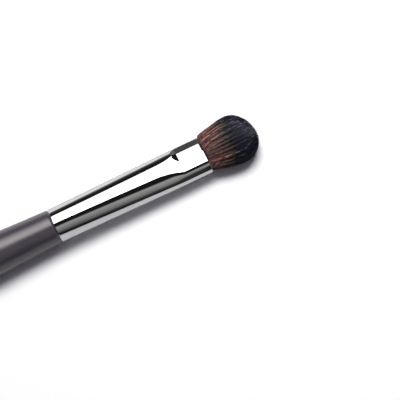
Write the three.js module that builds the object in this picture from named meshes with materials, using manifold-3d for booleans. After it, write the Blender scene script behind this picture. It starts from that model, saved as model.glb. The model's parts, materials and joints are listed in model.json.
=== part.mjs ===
// Contour brush for the eye area: a turned wooden handle, a plated metal ferrule that is drawn from round to
// flat, and a domed tuft of dyed hair. The hair roots are tied with thread and set in resin inside the ferrule,
// and the handle's grooved tenon is glued into its other end.
//
// Millimetres, +Z up. The brush is built along +X with its datum where the ferrule meets the handle's shoulder,
// and is then laid on the table as it comes to rest: on the belly of the handle and the underside of the tuft.
import * as THREE from "three";
import { mergeVertices } from "three/addons/utils/BufferGeometryUtils.js";
import Module from "manifold-3d";

const wasm = await Module();
wasm.setup();

// Handle
const handleLength = 116; // shoulder to tail tip
const shoulderDiameter = 8.9;
const shoulderChamfer = 0.3;
const neckSwell = 0.45; // rise of the neck's curve just behind the shoulder
const neckPull = 0.45; // share of the neck over which its curve is pulled at each end
const bellyDiameter = 10.7;
const bellySetback = 24; // shoulder to the widest place
const tailDiameter = 5.4; // where the taper meets the rounded tail
const tailRound = 3.4; // length of the rounded tail
const tailPull = 0.55; // pull of a curve that follows a quarter of an ellipse
const tenonLength = 10.5;
const tenonChamfer = 0.6;
const grooveCount = 3; // glue grooves round the tenon
const grooveWidth = 1.3;
const grooveDepth = 0.45;
const groovePitch = 2.9;

// Ferrule
const ferruleLength = 40;
const ferruleDiameter = 8.6; // outside, at the handle
const ferruleWall = 0.35;
const roundLength = 1.5; // stretch at the handle that stays round
const ovalWidth = 9.5; // outside, where the round has become an oval
const ovalThickness = 6.1;
const pressThickness = 5.2; // across the two flats pressed at the mouth
const pressLength = 6.3; // flats, measured from the mouth
const pressRamp = 2.8; // slope down to the flats

// Tuft
const tuftLength = 13.5; // mouth to the top of the dome
const tuftWidth = 12.4;
const tuftThickness = 8.6;
const domeHeight = 5.8;
const strandPitch = 0.325; // between neighbours, at the mouth
const strandDiameter = 0.18;
const strandSink = 0.4; // strand inside the root block
const hairGive = 0.3; // how far the table presses the tuft's underside in
const strandBend = 0.75; // share of the free length where a strand is bent and starts to thin
const rootLength = 5; // hair block set solid with resin
const rootSetback = 11.5; // mouth to the front of the root block

// Thread, resin and glue inside the ferrule
const threadDiameter = 0.5;
const threadTurns = 4;
const threadPitch = 0.95;
const resinWall = 0.3; // thinnest place beside the roots
const resinBack = 2; // thickness behind the roots
const bondThickness = 0.25; // thinnest place, above and below the tenon

// Clearances
const seatGap = 0.1; // between solids that are set against each other
const bondGap = 0.05; // each side of the glue sleeve
const bristleGap = 0.05; // outermost strand to the bore
const weld = 1e-5; // points of a skin closer than this are one

// Facets
const turnedSides = 36; // round the handle
const ovalArcSteps = 17; // along each of the oval's two rounded sides
const curveSteps = 9; // along each bezier of a turned profile
const drawnSteps = 6; // ferrule stations while round becomes oval
const rampSteps = 3; // ferrule stations down the pressed slope
const strandSides = 3;
const threadSides = 6;
const threadSteps = 24; // each turn

const finishes = {
  lacquer: { color: 0x3f3b46, roughness: 0.38, metalness: 0 },
  nickel: { color: 0xd8d8da, roughness: 0.08, metalness: 1 },
  hair: { color: 0x3a2a2c, roughness: 0.7, metalness: 0 },
  resin: { color: 0xc9a45c, roughness: 0.25, metalness: 0 },
  thread: { color: 0xe6dfcf, roughness: 0.85, metalness: 0 },
  glue: { color: 0xe3d6b4, roughness: 0.5, metalness: 0 },
};

// Section of the ferrule and of everything that fits in it: an oval whose top and bottom are pressed flat.
// Each rounded side has the same number of points, so that the flats are single facets.
function ovalRing(x, { halfWidth, halfThickness, halfPress }) {
  const step = Math.PI / (ovalArcSteps + 1);
  const crease = Math.asin(Math.min(halfPress / halfThickness, Math.cos(step / 2)));
  const ring = [];
  for (const side of [0, Math.PI]) {
    for (let i = 0; i <= ovalArcSteps; i++) {
      const angle = side - crease + (2 * crease * i) / ovalArcSteps;
      ring.push(new THREE.Vector3(x, halfWidth * Math.cos(angle), halfThickness * Math.sin(angle)));
    }
  }
  return ring;
}

function roundRing(x, radius) {
  return ovalRing(x, { halfWidth: radius, halfThickness: radius, halfPress: radius });
}

// Outside of the ferrule at a distance from the shoulder, drawn in by a margin for its bore and its contents.
// Behind the flats the round is drawn steadily into the oval.
function ferruleSection(x, margin = 0) {
  const flatsFrom = ferruleLength - pressLength;
  const rampFrom = flatsFrom - pressRamp;
  const drawn = THREE.MathUtils.clamp((x - roundLength) / (rampFrom - roundLength), 0, 1);
  const pressed = THREE.MathUtils.clamp((x - rampFrom) / pressRamp, 0, 1);
  const halfWidth = THREE.MathUtils.lerp(ferruleDiameter, ovalWidth, drawn) / 2;
  const halfThickness = THREE.MathUtils.lerp(ferruleDiameter, ovalThickness, drawn) / 2;
  const halfPress = THREE.MathUtils.lerp(halfThickness, pressThickness / 2, pressed);
  return {
    halfWidth: halfWidth - margin,
    halfThickness: halfThickness - margin,
    halfPress: halfPress - margin,
  };
}

// Closed skin over rings with equal counts of points. A loop of rings closes on itself as a tube wall does, and
// any other row of rings is closed by a fan over its first and last ring.
function skin(rings, isLoop = false) {
  const count = rings[0].length;
  const points = rings.flat();
  const faces = [];
  const spans = isLoop ? rings.length : rings.length - 1;
  for (let k = 0; k < spans; k++) {
    const here = k * count;
    const next = ((k + 1) % rings.length) * count;
    for (let i = 0; i < count; i++) {
      const j = (i + 1) % count;
      faces.push(here + i, here + j, next + j, here + i, next + j, next + i);
    }
  }
  if (!isLoop) {
    const last = (rings.length - 1) * count;
    const middles = [rings[0], rings.at(-1)].map((ring) =>
      ring.reduce((sum, p) => sum.add(p), new THREE.Vector3()).divideScalar(count),
    );
    const [first, end] = [points.push(middles[0]) - 1, points.push(middles[1]) - 1];
    for (let i = 0; i < count; i++) {
      const j = (i + 1) % count;
      faces.push(first, j, i, end, last + i, last + j);
    }
  }
  return new THREE.BufferGeometry().setFromPoints(points).setIndex(faces);
}

// Turned solid about the X axis from a profile of axial and radial points, with a facet squarely underneath.
function turned(profile) {
  const half = Math.PI / turnedSides;
  const points = profile.map((p) => new THREE.Vector2(p.y, p.x));
  return new THREE.LatheGeometry(points, turnedSides, half).rotateZ(-Math.PI / 2);
}

function toSolid(geometry) {
  const bare = geometry.clone();
  bare.deleteAttribute("normal");
  bare.deleteAttribute("uv");
  const merged = mergeVertices(bare, weld);
  const vertProperties = new Float32Array(merged.attributes.position.array);
  const triVerts = new Uint32Array(merged.index.array);
  return new wasm.Manifold(new wasm.Mesh({ numProp: 3, vertProperties, triVerts }));
}

function toGeometry(solid) {
  const { vertProperties, triVerts } = solid.getMesh();
  const position = new THREE.BufferAttribute(vertProperties, 3);
  return new THREE.BufferGeometry()
    .setAttribute("position", position)
    .setIndex(new THREE.BufferAttribute(triVerts, 1));
}

// The tenon is turned to a slight taper, so that it clears the bore alike where the bore is thinnest.
function tenonRadius(x) {
  return ferruleSection(x, ferruleWall + bondThickness + 2 * bondGap).halfThickness;
}

function grooveStarts() {
  const span = (grooveCount - 1) * groovePitch + grooveWidth;
  const first = (tenonLength - span) / 2;
  return Array.from({ length: grooveCount }, (_, i) => first + i * groovePitch);
}

// Handle: rounded tail, long taper to the belly, neck to the shoulder, and a tenon with glue grooves
function handleGeometry() {
  const tail = -handleLength;
  const taperStart = tail + tailRound;
  const taperMiddle = (taperStart - bellySetback) / 2;
  const neckReach = bellySetback * neckPull;
  const path = new THREE.Path().moveTo(tail, 0);
  path.bezierCurveTo(
    tail,
    (tailDiameter / 2) * tailPull,
    taperStart - tailRound * tailPull,
    tailDiameter / 2,
    taperStart,
    tailDiameter / 2,
  );
  path.bezierCurveTo(
    taperMiddle,
    tailDiameter / 2,
    taperMiddle,
    bellyDiameter / 2,
    -bellySetback,
    bellyDiameter / 2,
  );
  path.bezierCurveTo(
    -bellySetback + neckReach,
    bellyDiameter / 2,
    -neckReach,
    shoulderDiameter / 2 + neckSwell,
    -shoulderChamfer,
    shoulderDiameter / 2,
  );
  path.lineTo(0, shoulderDiameter / 2 - shoulderChamfer);
  path.lineTo(0, tenonRadius(0));
  for (const start of grooveStarts()) {
    const end = start + grooveWidth;
    path.lineTo(start, tenonRadius(start));
    path.lineTo(start, tenonRadius(start) - grooveDepth);
    path.lineTo(end, tenonRadius(end) - grooveDepth);
    path.lineTo(end, tenonRadius(end));
  }
  path.lineTo(tenonLength - tenonChamfer, tenonRadius(tenonLength - tenonChamfer));
  path.lineTo(tenonLength, tenonRadius(tenonLength) - tenonChamfer);
  path.lineTo(tenonLength, 0);
  return turned(path.getPoints(curveSteps));
}

// Glue sleeve: fills the space between the round tenon and the bore, and keys into the tenon's grooves
function bondGeometry() {
  const start = seatGap;
  const end = tenonLength - tenonChamfer - seatGap;
  const against = (x) => ovalRing(x, ferruleSection(x, ferruleWall + bondGap));
  const round = (x, depth = 0) => roundRing(x, tenonRadius(x) + bondGap - depth);
  const inside = [round(start)];
  for (const groove of grooveStarts()) {
    const [from, to] = [groove + bondGap, groove + grooveWidth - bondGap];
    inside.push(round(from), round(from, grooveDepth), round(to, grooveDepth), round(to));
  }
  inside.push(round(end));
  return skin([against(start), against(roundLength), against(end), ...inside.reverse()], true);
}

// Ferrule: one wall, round at the handle, drawn to an oval and pressed flat at the mouth
function ferruleGeometry() {
  const flatsFrom = ferruleLength - pressLength;
  const rampFrom = flatsFrom - pressRamp;
  const stations = [seatGap];
  for (let i = 0; i <= drawnSteps; i++) {
    stations.push(THREE.MathUtils.lerp(roundLength, rampFrom, i / drawnSteps));
  }
  for (let i = 1; i <= rampSteps; i++) stations.push(rampFrom + (pressRamp * i) / rampSteps);
  stations.push(ferruleLength);
  const outside = stations.map((x) => ovalRing(x, ferruleSection(x)));
  const bore = stations.map((x) => ovalRing(x, ferruleSection(x, ferruleWall))).reverse();
  return skin([...outside, ...bore], true);
}

// Root block of the tuft: the tied roots, held by resin and thread at the place where the ferrule is oval. The
// bore gets wider and thinner along it, so its width counts at the back and its thickness at the front.
const rootFront = ferruleLength - rootSetback;
const rootBack = rootFront - rootLength;
const flareLength = tuftLength - domeHeight;
const pocketMargin = ferruleWall + seatGap + resinWall;

function rootBore(margin) {
  return { ...ferruleSection(rootFront, margin), halfWidth: ferruleSection(rootBack, margin).halfWidth };
}

const rootSection = rootBore(pocketMargin + seatGap + threadDiameter + seatGap);
const mouthSection = ferruleSection(ferruleLength, ferruleWall + bristleGap + strandDiameter / 2);
const rootStrands = {
  halfWidth: rootSection.halfWidth - strandDiameter,
  halfPress: Math.min(rootSection.halfPress - strandDiameter, mouthSection.halfPress),
};

// A strand's place in the bundle is a share of the bundle's half width and half thickness, which it keeps all
// the way from the roots to its tip, so strands never cross. Roots lie on a hexagonal pattern.
function strandPlaces() {
  const rowPitch = (strandPitch * Math.sqrt(3)) / 2;
  const rows = Math.floor(mouthSection.halfPress / rowPitch);
  const squeeze = mouthSection.halfPress / mouthSection.halfThickness;
  const places = [];
  for (let row = -rows; row <= rows; row++) {
    const v = (row * rowPitch) / mouthSection.halfPress;
    const reach = mouthSection.halfWidth * Math.sqrt(1 - (squeeze * v) ** 2);
    const shift = row % 2 ? strandPitch / 2 : 0;
    const last = Math.floor((reach - shift) / strandPitch);
    const first = -Math.floor((reach + shift) / strandPitch);
    for (let i = first; i <= last; i++) {
      places.push({ u: (i * strandPitch + shift) / mouthSection.halfWidth, v });
    }
  }
  return places;
}

// The table, as a line in the side view: it touches the belly of the handle and presses the tuft's underside in.
function tableUnder(handle, strands) {
  const lowestRow = Math.max(...strands.map(({ v }) => v));
  const x = ferruleLength + flareLength;
  const z = hairGive - strandDiameter / 2 - (lowestRow * tuftThickness) / 2;
  const { position } = handle.attributes;
  let slope = -Infinity;
  for (let i = 0; i < position.count; i++) {
    slope = Math.max(slope, (z - position.getZ(i)) / (x - position.getX(i)));
  }
  return { slope, height: (along) => z + slope * (along - x) };
}

// Strand with a corner straight below its middle line, which bends along the table where the table is in its way
function strandGeometry({ u, v }, table) {
  const edge = Math.min(1, Math.hypot(u, v));
  const freeLength = flareLength + domeHeight * Math.sqrt(1 - edge ** 2);
  const at = (free) => {
    const flare = Math.sin((Math.PI / 2) * Math.min(1, free / flareLength));
    const halfWidth = THREE.MathUtils.lerp(mouthSection.halfWidth, tuftWidth / 2, flare);
    const halfThickness = THREE.MathUtils.lerp(mouthSection.halfPress, tuftThickness / 2, flare);
    const x = ferruleLength + free;
    const lowest = table.height(x) + strandDiameter / 2;
    return new THREE.Vector3(x, u * halfWidth, Math.max(v * halfThickness, lowest));
  };
  const root = new THREE.Vector3(
    rootFront - strandSink,
    u * rootStrands.halfWidth,
    v * rootStrands.halfPress,
  );
  const rings = [root, at(0), at(freeLength * strandBend)].map((centre) =>
    Array.from({ length: strandSides }, (_, i) => {
      const angle = (2 * Math.PI * i) / strandSides - Math.PI / 2;
      const offset = new THREE.Vector3(0, Math.cos(angle), Math.sin(angle));
      return centre.clone().addScaledVector(offset, strandDiameter / 2);
    }),
  );
  const points = [...rings.flat(), at(freeLength)];
  const tip = points.length - 1;
  const faces = [0, 2, 1]; // the buried end, three-cornered
  for (let k = 0; k < rings.length - 1; k++) {
    for (let i = 0; i < strandSides; i++) {
      const [a, b] = [k * strandSides + i, k * strandSides + ((i + 1) % strandSides)];
      faces.push(a, b, b + strandSides, a, b + strandSides, a + strandSides);
    }
  }
  for (let i = 0; i < strandSides; i++) {
    const last = (rings.length - 1) * strandSides;
    faces.push(last + i, last + ((i + 1) % strandSides), tip);
  }
  return new THREE.BufferGeometry().setFromPoints(points).setIndex(faces);
}

function tuftGeometry(strands, table) {
  const block = skin([ovalRing(rootBack, rootSection), ovalRing(rootFront, rootSection)]);
  const hair = strands.map((place) => strandGeometry(place, table));
  console.log(hair.length + " strands");
  return toGeometry(wasm.Manifold.union([block, ...hair].map(toSolid)));
}

// Thread: an open winding round the root block
class Winding extends THREE.Curve {
  getPoint(t) {
    const turn = t * threadTurns;
    const lift = seatGap + threadDiameter / 2;
    const angle = 2 * Math.PI * turn;
    const x = (rootBack + rootFront - threadTurns * threadPitch) / 2 + turn * threadPitch;
    const y = (rootSection.halfWidth + lift) * Math.cos(angle);
    const z = (rootSection.halfPress + lift) * Math.sin(angle);
    return new THREE.Vector3(x, y, z);
  }
}

// Least distance between the thread's surfaces in neighbouring turns, on points along its middle line.
function leastThreadGap(curve) {
  const points = curve.getPoints(threadTurns * threadSteps);
  let least = Infinity;
  for (let i = 0; i < points.length; i++) {
    for (let j = i + threadSteps / 2; j < points.length; j++) {
      least = Math.min(least, points[i].distanceTo(points[j]));
    }
  }
  return least - threadDiameter;
}

function threadGeometry() {
  const curve = new Winding();
  console.log("thread's least gap to itself " + leastThreadGap(curve).toFixed(2) + " mm");
  const section = new THREE.Shape();
  for (let i = 0; i < threadSides; i++) {
    const angle = (2 * Math.PI * i) / threadSides;
    const point = [Math.cos(angle), Math.sin(angle)].map((c) => (c * threadDiameter) / 2);
    if (i) section.lineTo(...point);
    else section.moveTo(...point);
  }
  const steps = threadTurns * threadSteps;
  return new THREE.ExtrudeGeometry(section, { steps, extrudePath: curve, bevelEnabled: false });
}

// Resin: a plug cast against the bore, with the pocket that the tied roots fill
function resinGeometry() {
  const back = rootBack - seatGap - resinBack;
  const floor = rootBack - seatGap;
  const cast = [back, floor, rootFront].map((x) => ovalRing(x, ferruleSection(x, ferruleWall + seatGap)));
  const pocket = [rootFront, floor].map((x) => ovalRing(x, rootBore(pocketMargin)));
  return skin([...cast, ...pocket]);
}

// Lays the brush on the table, with the origin at the middle of its length
function layDown(brush, table) {
  brush.rotation.y = Math.atan(table.slope);
  brush.updateMatrixWorld(true);
  const box = new THREE.Box3().setFromObject(brush, true);
  brush.position.set(-(box.min.x + box.max.x) / 2, 0, -box.min.z);
}

const brush = new THREE.Group();
const handle = handleGeometry();
const strands = strandPlaces();
const table = tableUnder(handle, strands);
const pieces = {
  handle: [handle, finishes.lacquer],
  ferrule: [ferruleGeometry(), finishes.nickel],
  hair_tuft: [tuftGeometry(strands, table), finishes.hair],
  binding_thread: [threadGeometry(), finishes.thread],
  root_resin: [resinGeometry(), finishes.resin],
  handle_bond: [bondGeometry(), finishes.glue],
};
for (const [name, [geometry, finish]] of Object.entries(pieces)) {
  const mesh = new THREE.Mesh(geometry, new THREE.MeshStandardMaterial(finish));
  mesh.name = name;
  brush.add(mesh);
}
layDown(brush, table);

const part = new THREE.Group();
part.add(brush);
export default part;
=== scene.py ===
"""A contour brush lying on a white table under a large softbox and a key lamp.

Sizes are in metres. The brush's own axes run along the handle (x, from the shoulder towards the tip), across
it (y, away from the near side) and square to the ferrule's pressed flats (z). BrushAxes says where they lie
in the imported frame.
"""

from __future__ import annotations

import json
import logging
import math
from dataclasses import dataclass, field
from enum import Enum

import bpy
import numpy as np
from mathutils import Matrix, Vector

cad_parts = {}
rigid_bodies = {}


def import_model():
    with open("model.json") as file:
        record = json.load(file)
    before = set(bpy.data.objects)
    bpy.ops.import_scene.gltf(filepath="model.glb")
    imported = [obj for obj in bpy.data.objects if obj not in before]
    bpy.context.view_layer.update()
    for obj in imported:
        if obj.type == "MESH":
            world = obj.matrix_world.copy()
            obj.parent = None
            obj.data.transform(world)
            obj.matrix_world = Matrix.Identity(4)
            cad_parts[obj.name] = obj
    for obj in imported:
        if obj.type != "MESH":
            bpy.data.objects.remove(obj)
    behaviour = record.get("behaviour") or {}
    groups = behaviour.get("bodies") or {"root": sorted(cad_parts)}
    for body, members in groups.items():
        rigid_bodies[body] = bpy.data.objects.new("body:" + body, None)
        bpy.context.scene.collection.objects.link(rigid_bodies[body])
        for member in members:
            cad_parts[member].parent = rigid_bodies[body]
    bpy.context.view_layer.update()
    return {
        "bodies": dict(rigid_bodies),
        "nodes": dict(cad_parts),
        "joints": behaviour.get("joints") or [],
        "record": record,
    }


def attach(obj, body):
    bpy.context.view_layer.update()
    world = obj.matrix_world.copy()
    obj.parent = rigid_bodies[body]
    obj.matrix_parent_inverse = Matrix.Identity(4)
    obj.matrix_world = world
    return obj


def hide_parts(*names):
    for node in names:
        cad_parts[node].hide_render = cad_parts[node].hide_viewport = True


MM = 0.001
BODY = "root"
BAKE_MAP = "OFBake"
SHARP_ANGLE = math.radians(40)

Colour = tuple[float, float, float, float]
Span = tuple[float, float]
Profile = list[tuple[float, float]]
Sockets = dict[str, bpy.types.NodeSocket]

WHITE: Colour = (1.0, 1.0, 1.0, 1.0)

log = logging.getLogger("contour_brush")


class Slot(Enum):
    """Material slots of the record."""

    HANDLE = "handle_lacquer"
    FERRULE = "ferrule_plating"
    HAIR = "tuft_hair"
    THREAD = "tie_thread"
    RESIN = "root_resin"
    GLUE = "bond_glue"


class Node(Enum):
    """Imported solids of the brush."""

    HANDLE = "handle"
    FERRULE = "ferrule"
    HAIR = "hair_tuft"
    THREAD = "binding_thread"
    RESIN = "root_resin"
    BOND = "handle_bond"


class Layer(Enum):
    """Layers of the tuft, from the middle out."""

    CORE = "tuft_core_hair"
    OUTER = "tuft_outer_hair"


class Trait(Enum):
    """Values that the hair pieces keep on their points for the dye and its painted shade."""

    ALONG = "along"
    # Each hair's tone, with painted shade in it
    SHADE = "shade"
    CHANGE = "change"


def lerp(start: float, end: float, share: float | np.ndarray) -> float | np.ndarray:
    """Value that lies a share of the way from start to end."""
    return start + (end - start) * share


def smoothstep(value: float | np.ndarray, low: float, high: float) -> float | np.ndarray:
    """Smooth rise from 0 at low to 1 at high."""
    share = np.clip((value - low) / (high - low), 0.0, 1.0)
    return share * share * (3.0 - 2.0 * share)


def soft_min(first: np.ndarray, second: np.ndarray, fillet: float) -> np.ndarray:
    """Lesser of two heights, with the edge between them rounded.

    Args:
        first: Heights of one surface.
        second: Heights of the other surface.
        fillet: Difference in height over which the edge is rounded.

    Returns:
        The lower surface's heights.
    """
    near = np.maximum(fillet - np.abs(first - second), 0.0) / fillet
    return np.minimum(first, second) - near * near * fillet / 4.0


def bezier(points: Profile, steps: int) -> Profile:
    """Points along a cubic bezier, without its first one.

    Args:
        points: The four control points.
        steps: Number of points to give back.

    Returns:
        Points from just after the start to the end.
    """
    start, pull, push, end = (np.array(point) for point in points)
    found = []
    for share in np.linspace(0.0, 1.0, steps + 1)[1:]:
        rest = 1.0 - share
        place = rest**3 * start + 3 * rest**2 * share * pull + 3 * rest * share**2 * push + share**3 * end
        found.append((float(place[0]), float(place[1])))
    return found


def ring_faces(rings: int, sides: int, loop: bool) -> list[list[int]]:
    """Faces of a skin over rings with equal counts of points.

    Args:
        rings: Number of rings.
        sides: Points in each ring.
        loop: True if the last ring joins the first, as in a tube's wall; otherwise both ends are capped.

    Returns:
        Corner indices of each face, seen from outside.
    """
    faces = []
    for ring in range(rings if loop else rings - 1):
        here = ring * sides
        there = (ring + 1) % rings * sides
        for i in range(sides):
            j = (i + 1) % sides
            faces.append([here + i, here + j, there + j, there + i])
    if not loop:
        last = (rings - 1) * sides
        faces.append(list(range(sides))[::-1])
        faces.append(list(range(last, last + sides)))
    return faces


def new_piece(name: str, points: np.ndarray, faces: list[list[int]]) -> bpy.types.Object:
    """Makes a smooth mesh object and links it into the scene.

    Args:
        name: Name of the piece.
        points: Its points in the frame.
        faces: Corner indices of its faces.

    Returns:
        The new object.
    """
    mesh = bpy.data.meshes.new(name)
    mesh.from_pydata(points.tolist(), [], faces)
    mesh.validate()
    mesh.shade_smooth()
    mesh.set_sharp_from_angle(angle=SHARP_ANGLE)
    piece = bpy.data.objects.new(name, mesh)
    bpy.context.scene.collection.objects.link(piece)
    return piece


def coat(piece: bpy.types.Object, material: bpy.types.Material, slot: Slot) -> None:
    """Gives a piece its only material.

    Args:
        piece: The piece.
        material: Its finish.
        slot: The record's material slot; not used.
    """
    piece.data.materials.clear()
    piece.data.materials.append(material)


def stand_for(piece: bpy.types.Object, node: Node) -> None:
    """Puts a piece on the brush's body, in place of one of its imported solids."""
    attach(piece, BODY)
    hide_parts(node.value)


@dataclass(frozen=True)
class BrushAxes:
    """Where the brush's own axes lie in the frame."""

    origin: Vector
    along: Vector
    up: Vector

    @property
    def across(self) -> Vector:
        """Direction of the brush's y axis, away from the photograph's near side."""
        return self.up.cross(self.along)

    def place(self, points: np.ndarray) -> np.ndarray:
        """Moves points from the brush's axes into the frame."""
        axes = np.array([self.along, self.across, self.up])
        return np.array(self.origin) + np.asarray(points, float) @ axes

    def on_axis(self, x: float) -> Vector:
        """Point of the brush's long axis, in the frame."""
        return Vector(self.place(np.array([[x, 0.0, 0.0]]))[0])


class ShaderGraph:
    """Short hand for the nodes of a material, a world or a node group."""

    # A Mix node's sockets for colours: the share and the two colours, and the result
    MIX_INPUTS = (0, 6, 7)
    MIX_OUTPUT = 2

    def __init__(self, tree: bpy.types.NodeTree) -> None:
        """Starts from an empty tree."""
        self.tree = tree
        tree.nodes.clear()

    def add(self, kind: str, **settings: object) -> bpy.types.Node:
        """Adds a node and sets its properties.

        Args:
            kind: Node type without its ShaderNode prefix.
            settings: Properties of the node by name.

        Returns:
            The new node.
        """
        prefix = "" if kind.startswith("NodeGroup") else "ShaderNode"
        node = self.tree.nodes.new(prefix + kind)
        for name, value in settings.items():
            setattr(node, name, value)
        return node

    def give(self, socket: bpy.types.NodeSocket, value: object) -> None:
        """Links an input to another socket, or sets its plain value.

        Args:
            socket: The input.
            value: A socket to link, or a number or colour.
        """
        if isinstance(value, bpy.types.NodeSocket):
            self.tree.links.new(value, socket)
        else:
            socket.default_value = value

    def feed(self, node: bpy.types.Node, **sockets: object) -> bpy.types.Node:
        """Links or sets a node's inputs.

        Args:
            node: The node.
            sockets: Input names, with _ for a space, and a socket to link or a plain value.

        Returns:
            The same node.
        """
        for name, value in sockets.items():
            self.give(node.inputs[name.replace("_", " ")], value)
        return node

    def math(self, operation: str, *values: object) -> bpy.types.NodeSocket:
        """Adds a Math node.

        Args:
            operation: What the node works out.
            values: Sockets or numbers, in the order of its inputs.

        Returns:
            The result's socket.
        """
        node = self.add("Math", operation=operation)
        for socket, value in zip(node.inputs, values):
            self.give(socket, value)
        return node.outputs[0]

    def mix(self, share: object, first: object, second: object) -> bpy.types.NodeSocket:
        """Mixes two colours.

        Args:
            share: How much of the second colour there is, from 0 to 1.
            first: One colour or its socket.
            second: The other colour or its socket.

        Returns:
            The mixed colour's socket.
        """
        node = self.add("Mix", data_type="RGBA")
        for index, value in zip(self.MIX_INPUTS, (share, first, second)):
            self.give(node.inputs[index], value)
        return node.outputs[self.MIX_OUTPUT]

    def ramp(self, value: bpy.types.NodeSocket, low: object, high: object) -> bpy.types.NodeSocket:
        """Smooth mask that rises from 0 where a value is low to 1 where it is high."""
        node = self.add("MapRange", interpolation_type="SMOOTHSTEP")
        return self.feed(node, Value=value, From_Min=low, From_Max=high).outputs["Result"]

    def between(self, mask: bpy.types.NodeSocket, low: float, high: float) -> bpy.types.NodeSocket:
        """Value that goes from low where a mask is 0 to high where it is 1."""
        node = self.add("MapRange")
        return self.feed(node, Value=mask, To_Min=low, To_Max=high).outputs["Result"]

    def bump(self, height: bpy.types.NodeSocket, strength: float, depth: float) -> bpy.types.NodeSocket:
        """Normals of a shallow relief, in which a height of 1 measures depth."""
        node = self.add("Bump")
        return self.feed(node, Height=height, Strength=strength, Distance=depth).outputs[0]

    def trait(self, trait: Trait) -> bpy.types.NodeSocket:
        """Value that a hair piece keeps on its points."""
        return self.add("Attribute", attribute_name=trait.value).outputs["Fac"]

    def place(self, group: bpy.types.NodeTree, **values: float) -> Sockets:
        """Places a node group with its own values, and gives back its outputs by name."""
        node = self.feed(self.add("Group", node_tree=group), **values)
        return dict(node.outputs.items())


def new_group(
    name: str, inputs: dict[str, float], outputs: list[str]
) -> tuple[ShaderGraph, Sockets, Sockets]:
    """Starts a shader node group with plain number sockets.

    Args:
        name: Name of the group.
        inputs: Input names with their usual values.
        outputs: Output names.

    Returns:
        The group's graph, its input sockets by name and its output node's sockets by name.
    """
    tree = bpy.data.node_groups.new(name, "ShaderNodeTree")
    graph = ShaderGraph(tree)
    for title, value in inputs.items():
        socket = tree.interface.new_socket(title, in_out="INPUT", socket_type="NodeSocketFloat")
        socket.default_value = value
    for title in outputs:
        tree.interface.new_socket(title, in_out="OUTPUT", socket_type="NodeSocketFloat")
    source = graph.add("NodeGroupInput")
    target = graph.add("NodeGroupOutput")
    return graph, dict(source.outputs.items()), dict(target.inputs.items())


class Effects:
    """Surface effects that several finishes share, as shader node groups."""

    CLOUD_DETAIL = 4.0
    CLOUD_ROUGHNESS = 0.6
    CLOUD_EDGES: Span = (0.3, 0.7)
    RELIEF_DETAIL = 2.0
    SCRATCH_STRETCH = (0.06, 1.0, 1.0)
    SCRATCH_SLANT = (0.0, 0.0, math.radians(7))
    SCRATCH_DETAIL = 3.0
    SCRATCH_WAVER = 0.4
    SCRATCH_LEAST = 0.72
    SCRATCH_FULL = 0.75
    FIBRE_DETAIL = 2.0
    FIBRE_EDGES: Span = (0.35, 0.65)

    def __init__(self) -> None:
        """Builds the groups once."""
        self.mottle = self._mottle()
        self.scratches = self._scratches()
        self.fibres = self._fibres()

    def _mottle(self) -> bpy.types.NodeTree:
        """Makes cloudy unevenness.

        Returns:
            A group with a broad mask and a fine height.
        """
        graph, given, made = new_group("mottle", {"Broad": 120.0, "Fine": 1500.0}, ["Mask", "Height"])
        coordinates = graph.add("TexCoord").outputs["Object"]
        broad = graph.add("TexNoise")
        graph.feed(broad, Vector=coordinates, Scale=given["Broad"])
        graph.feed(broad, Detail=self.CLOUD_DETAIL, Roughness=self.CLOUD_ROUGHNESS)
        fine = graph.add("TexNoise")
        graph.feed(fine, Vector=coordinates, Scale=given["Fine"], Detail=self.RELIEF_DETAIL)
        graph.give(made["Mask"], graph.ramp(broad.outputs["Fac"], *self.CLOUD_EDGES))
        graph.give(made["Height"], fine.outputs["Fac"])
        return graph.tree

    def _scratches(self) -> bpy.types.NodeTree:
        """Makes hairline rubbing marks that run mostly along the brush.

        Returns:
            A group with a sparse mask.
        """
        graph, given, made = new_group("scratches", {"Scale": 900.0, "Share": 0.1}, ["Mask"])
        stretch = graph.add("Mapping")
        graph.feed(stretch, Vector=graph.add("TexCoord").outputs["Object"])
        graph.feed(stretch, Scale=self.SCRATCH_STRETCH, Rotation=self.SCRATCH_SLANT)
        lines = graph.add("TexNoise")
        graph.feed(lines, Vector=stretch.outputs[0], Scale=given["Scale"])
        graph.feed(lines, Detail=self.SCRATCH_DETAIL, Distortion=self.SCRATCH_WAVER)
        least = graph.math("SUBTRACT", self.SCRATCH_LEAST, given["Share"])
        graph.give(made["Mask"], graph.ramp(lines.outputs["Fac"], least, self.SCRATCH_FULL))
        return graph.tree

    def _fibres(self) -> bpy.types.NodeTree:
        """Makes fine streaks along fibres.

        Returns:
            A group with a mask.
        """
        graph, given, made = new_group("fibres", {"Scale": 6000.0, "Length": 0.05}, ["Mask"])
        sizes = graph.add("CombineXYZ")
        graph.feed(sizes, X=given["Length"], Y=1.0, Z=1.0)
        stretch = graph.add("Mapping")
        graph.feed(stretch, Vector=graph.add("TexCoord").outputs["Object"], Scale=sizes.outputs[0])
        streaks = graph.add("TexNoise")
        graph.feed(streaks, Vector=stretch.outputs[0], Scale=given["Scale"], Detail=self.FIBRE_DETAIL)
        graph.give(made["Mask"], graph.ramp(streaks.outputs["Fac"], *self.FIBRE_EDGES))
        return graph.tree


def new_material(name: str) -> tuple[bpy.types.Material, ShaderGraph, bpy.types.Node]:
    """Starts a material with a Principled shader.

    Args:
        name: Name of the material.

    Returns:
        The material, its graph and its shader node.
    """
    material = bpy.data.materials.new(name)
    material.use_nodes = True
    graph = ShaderGraph(material.node_tree)
    shader = graph.add("BsdfPrincipled")
    output = graph.add("OutputMaterial")
    graph.feed(output, Surface=shader.outputs[0])
    return material, graph, shader


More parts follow.
